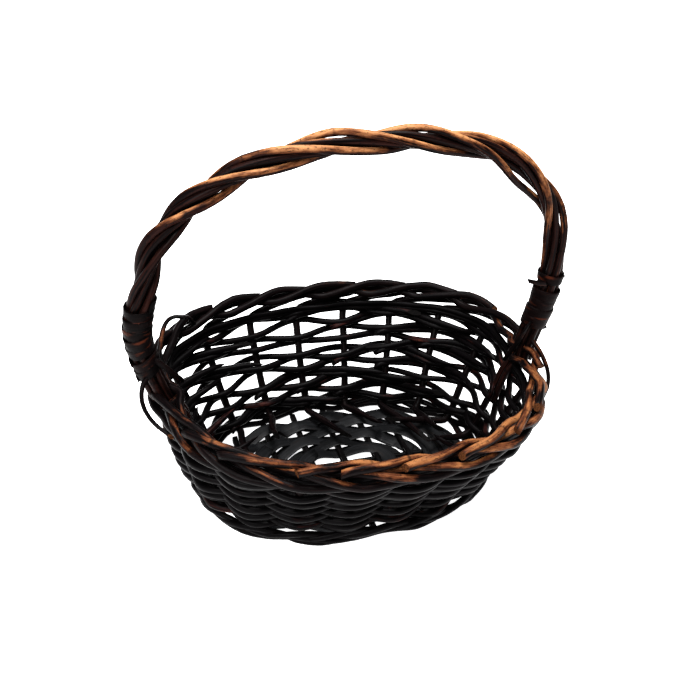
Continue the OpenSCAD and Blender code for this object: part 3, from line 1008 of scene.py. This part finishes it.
binding = {
    "thickness": 0.0012,
    "offRope": 0.0009,      # from the rope's outside to the skein's middle
    "wander": 0.0009,
    "lean": 0.12,           # how far the skein leans over the rope on its outside
    "tailWidth": 0.0048,
    "left": {
        "width": 0.0088, "pitch": 0.0072, "turns": 5.6, "from": 0.0475, "tilt": 0.0034,
        # single bands besides: middle, width and tilt
        "bands": [(0.0345, 0.0085, 0.0045), (0.0415, 0.0080, 0.0038)],
        "tails": [[(-0.1490, -0.007, 0.1340), (-0.1440, -0.0085, 0.1300), (-0.1385, -0.0085, 0.1235),
                   (-0.1320, -0.008, 0.1165)]],
    },
    "right": {
        "width": 0.0092, "pitch": 0.0080, "turns": 4.2, "from": 0.0290, "tilt": 0.0010,
        "bands": [(0.0730, 0.0078, 0.0008)],
        "tails": [[(0.1400, -0.0085, 0.1290), (0.1350, -0.0095, 0.1200), (0.1295, -0.0095, 0.1100),
                   (0.1240, -0.0090, 0.1000)],
                  [(0.1465, -0.0100, 0.1640), (0.1410, -0.0098, 0.1650), (0.1345, -0.0096, 0.1670)]],
    },
}


# Winds a skein round a foot, or a single band when it has one turn
def windSkein(bm, side, start, turns, pitch, width, tilt, seed):
    perTurn = 16
    points, ways = [], []
    for n in range(round(turns * perTurn) + 1):
        turn = 2 * math.pi * n / perTurn
        l = start + n * pitch / perTurn - tilt * math.cos(turn)
        l += binding["wander"] * noise.noise(Vector((n / perTurn * 1.3, side, seed)))
        l = l if side < 0 else bowLength - l
        radius = bundleRadius + binding["offRope"]
        radius += binding["wander"] * noise.noise(Vector((n * 0.35, side * 3, seed)))
        points.append(ropePoint(l, turn, radius + 0.0004 * (n // perTurn % 2)))
        ways.append(bowWay(l) * (1 if side < 0 else -1) + binding["lean"] * bowOut(l) * math.cos(turn))
    growRod(bm, points, width, seed, flat=binding["thickness"], hints=lambda path: spreadOver(ways, path),
            sides=12, step=0.0035, cuts=(0.5, 0.5), rough=0.10, knotEvery=0, wear=0.1)


def bindFoot(side):
    where = "left" if side < 0 else "right"
    plan = binding[where]
    bm = newPiece()
    windSkein(bm, side, plan["from"], plan["turns"], plan["pitch"], plan["width"], plan["tilt"], 610 + side)
    for n, (middle, width, tilt) in enumerate(plan["bands"]):
        windSkein(bm, side, middle, 1.08, 0.0008, width, tilt, 620 + side + 3 * n)
    for n, tail in enumerate(plan["tails"]):
        growRod(bm, [Vector(point) for point in tail], binding["tailWidth"], 640 + side + 3 * n,
                taper=(1, 0.7), flat=0.0015, hints=lambda path: [Vector((0.4, 0, 1))] * len(path),
                cuts=(0.4, 0.8), knotEvery=0)
    finishPiece(bm, f"binding{where.capitalize()}", "binding_skein", [skeinStrip, darkCut],
                f"handle_binding_{where}")


growCoreRod()
for k in range(1, 7):
    growRopeRod(k)
bindFoot(-1)
bindFoot(1)
print("handle roped and bound")


# ---- floor, light and camera ----

studio = {
    "floorColour": (0.93, 0.93, 0.93),
    "floorGlow": 0.85,
    "skyGlow": 0.22,
    "topLight": 40,
    "keyLight": 24,
}
floorMesh = bmesh.new()
bmesh.ops.create_grid(floorMesh, x_segments=1, y_segments=1, size=6)
floorData = bpy.data.meshes.new("floor")
floorMesh.to_mesh(floorData)
floorMesh.free()
floor = bpy.data.objects.new("floor", floorData)
floor.location.z = -0.0002
bpy.context.scene.collection.objects.link(floor)
floorCoat = Coat("floorPaint")
floorCoat.surface(Base_Color=studio["floorColour"], Roughness=0.9, Specular_IOR_Level=0.1)
floorCoat.surface(Emission_Color=(1, 1, 1), Emission_Strength=studio["floorGlow"])
floorData.materials.append(floorCoat.material)

world = bpy.data.worlds.new("studio")
world.use_nodes = True
world.node_tree.nodes["Background"].inputs["Color"].default_value = (1, 1, 1, 1)
world.node_tree.nodes["Background"].inputs["Strength"].default_value = studio["skyGlow"]
bpy.context.scene.world = world


def hangLight(name, place, aim, size, power):
    data = bpy.data.lights.new(name, "AREA")
    data.shape = "DISK"
    data.size = size
    data.energy = power
    lamp = bpy.data.objects.new(name, data)
    lamp.location = place
    lamp.rotation_euler = (Vector(aim) - Vector(place)).to_track_quat("-Z", "Y").to_euler()
    bpy.context.scene.collection.objects.link(lamp)


hangLight("topLight", (0.1, 0.1, 1.5), (0, 0, 0.1), 0.9, studio["topLight"])
hangLight("keyLight", (-0.9, -0.9, 1.3), (0, 0, 0.15), 0.6, studio["keyLight"])

view = {
    "azimuth": -17.92,
    "elevation": 33.4,
    "roll": 3.17,
    "distance": 0.8362,
    "target": (-0.00106, 0.00498, 0.11447),
    "lens": 56.57,
}
azimuth, elevation = math.radians(view["azimuth"]), math.radians(view["elevation"])
level = math.cos(elevation)
back = Vector((math.sin(azimuth) * level, -math.cos(azimuth) * level, math.sin(elevation)))
camera = bpy.data.objects.new("camera", bpy.data.cameras.new("camera"))
camera.data.lens = view["lens"]
camera.location = Vector(view["target"]) + view["distance"] * back
turned = back.to_track_quat("Z", "Y").to_matrix() @ Matrix.Rotation(math.radians(view["roll"]), 3, "Z")
camera.rotation_euler = turned.to_euler()
bpy.context.scene.collection.objects.link(camera)
bpy.context.scene.camera = camera
bpy.context.scene.view_settings.view_transform = "Standard"
bpy.context.scene.view_settings.look = "Medium High Contrast"
